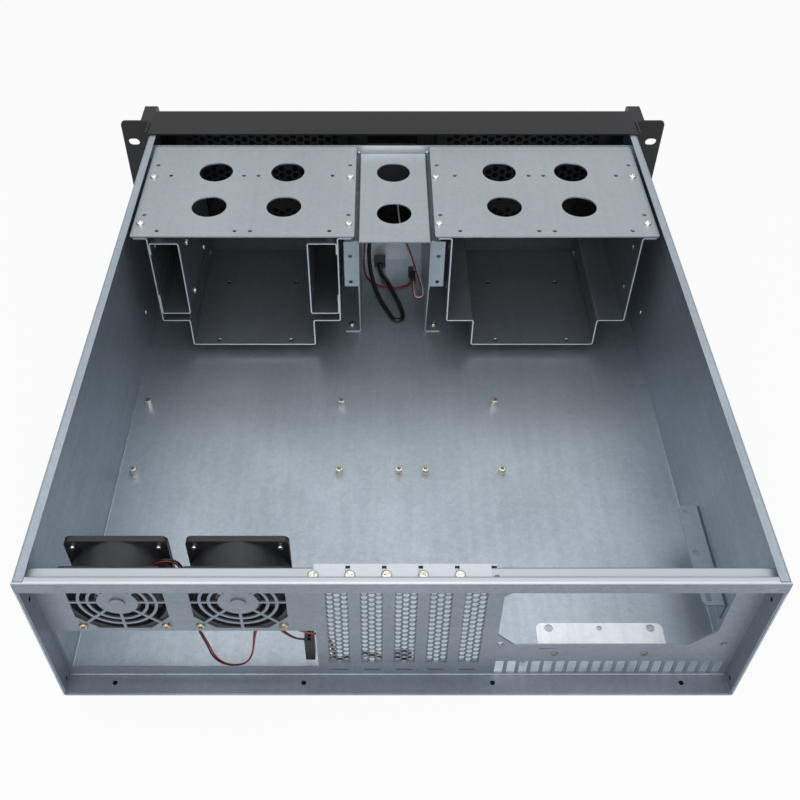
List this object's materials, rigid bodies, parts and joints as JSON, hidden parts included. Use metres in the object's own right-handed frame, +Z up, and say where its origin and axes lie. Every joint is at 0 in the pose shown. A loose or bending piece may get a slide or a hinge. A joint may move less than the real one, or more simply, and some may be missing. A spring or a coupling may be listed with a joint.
{
  "type": "rackmount server case",
  "caption": "Empty rackmount server case, open at the top: galvanised tub and vented rear wall with fan guards and slot covers, stepped drive cages, black front panel with ears and handles.",
  "frame": {"origin": "under the middle of the case, on the surface that it stands on", "axes": "+X to the right seen from the front, the front faces -Y, +Z up"},
  "size_m": [0.4826, 0.5206, 0.1305],
  "materials": {
    "black_paint": "fine satin texture",
    "black_plastic": "satin",
    "green_lens": "clear",
    "handle_black": "satin",
    "plate_zinc": "light galvanised sheet",
    "red_lens": "clear",
    "standoff_metal": "plated",
    "zinc": "spangled galvanised sheet"
  },
  "bodies": {
    "case": {"base_tub": "zinc", "bay_cover_left_lower": "black_paint", "bay_cover_left_upper": "black_paint", "bay_cover_right_lower": "black_paint", "bay_cover_right_upper": "black_paint", "cage_plate_left": "plate_zinc", "cage_plate_right": "plate_zinc", "centre_bracket": "zinc", "control_module": "black_plastic", "drive_adapter_inner": "zinc", "drive_adapter_outer": "zinc", "drive_cage_left": "zinc", "drive_cage_right": "zinc", "drive_light": "red_lens", "ear_left": "black_paint", "ear_right": "black_paint", "fan_frame_left": "black_plastic", "fan_frame_right": "black_plastic", "front_panel": "black_paint", "handle_left": "handle_black", "handle_right": "handle_black", "power_light": "green_lens", "psu_bracket": "zinc", "psu_rail": "zinc", "rear_wall": "zinc", "slot_cover_1": "zinc", "slot_cover_2": "zinc", "slot_cover_3": "zinc", "slot_cover_4": "zinc", "slot_cover_5": "zinc", "small_cover_left": "black_paint", "small_cover_right": "black_paint", "standoffs": "standoff_metal", "sub_panel": "zinc", "usb_ports": "black_plastic"},
    "fan_left": {"fan_rotor_left": "black_plastic"},
    "fan_right": {"fan_rotor_right": "black_plastic"},
    "power_key": {"power_button": "black_plastic"},
    "reset_key": {"reset_button": "black_plastic"}
  },
  "joints": [
    {"name": "fan_left_spin", "type": "hinge", "parent": "case", "child": "fan_left", "pos_m": [0.0945, 0.2318, 0.0879], "axis": [0, 1, 0], "continuous": true},
    {"name": "fan_right_spin", "type": "hinge", "parent": "case", "child": "fan_right", "pos_m": [0.1651, 0.2318, 0.0879], "axis": [0, 1, 0], "continuous": true},
    {"name": "power_press", "type": "slide", "parent": "case", "child": "power_key", "axis": [0, 1, 0], "range_m": [0, 0.0015], "stiffness_N_per_m": 400, "springref_m": -0.0012},
    {"name": "reset_press", "type": "slide", "parent": "case", "child": "reset_key", "axis": [0, 1, 0], "range_m": [0, 0.0015], "stiffness_N_per_m": 400, "springref_m": -0.0012}
  ]
}
